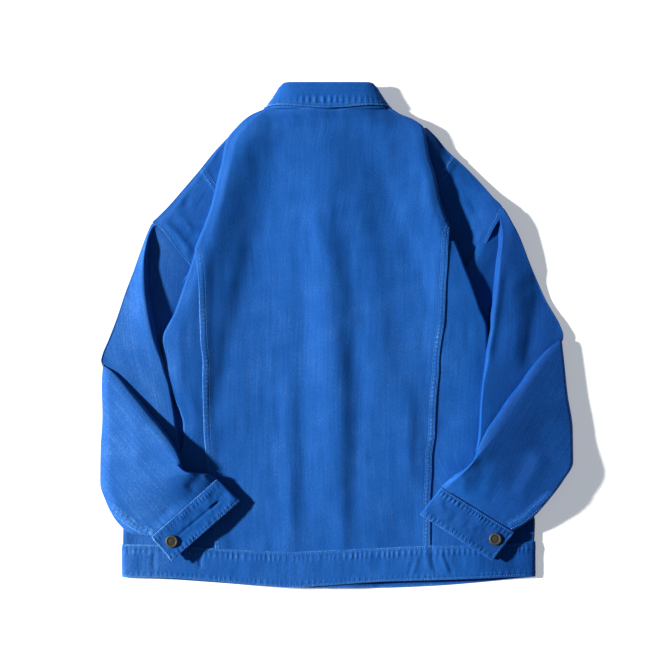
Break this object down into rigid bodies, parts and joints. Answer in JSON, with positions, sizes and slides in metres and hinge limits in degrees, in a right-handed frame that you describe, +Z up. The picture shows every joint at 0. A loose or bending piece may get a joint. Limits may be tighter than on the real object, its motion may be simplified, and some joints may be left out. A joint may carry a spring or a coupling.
{
  "type": "denim jacket laid flat",
  "caption": "Oversized blue denim jacket laid flat with its back up, sleeves folded in at the elbows and buttoned cuffs on the back, to dress a table, bed or shelf.",
  "frame": {"origin": "on the surface that the jacket lies on, below the middle of its box", "axes": "+Z up from the surface, +Y from the hem towards the collar, +X towards the wearer's right sleeve"},
  "size_m": [0.6508, 0.6968, 0.039],
  "materials": {
    "denim": "washed, overdyed blue twill, worn pale along its seams",
    "button_metal": "dark antique metal, worn bright on its rim"
  },
  "bodies": {
    "root": {"back_center": "denim", "back_side_left": "denim", "back_side_right": "denim", "front_left": "denim", "front_right": "denim", "hem_band": "denim", "collar": "denim", "sleeve_left": "denim", "sleeve_right": "denim", "cuff_left": "denim", "cuff_right": "denim", "cuff_button_left": "button_metal", "cuff_button_right": "button_metal", "front_button_1": "button_metal", "front_button_2": "button_metal", "front_button_3": "button_metal", "front_button_4": "button_metal", "front_button_5": "button_metal", "front_button_6": "button_metal"}
  },
  "joints": []
}
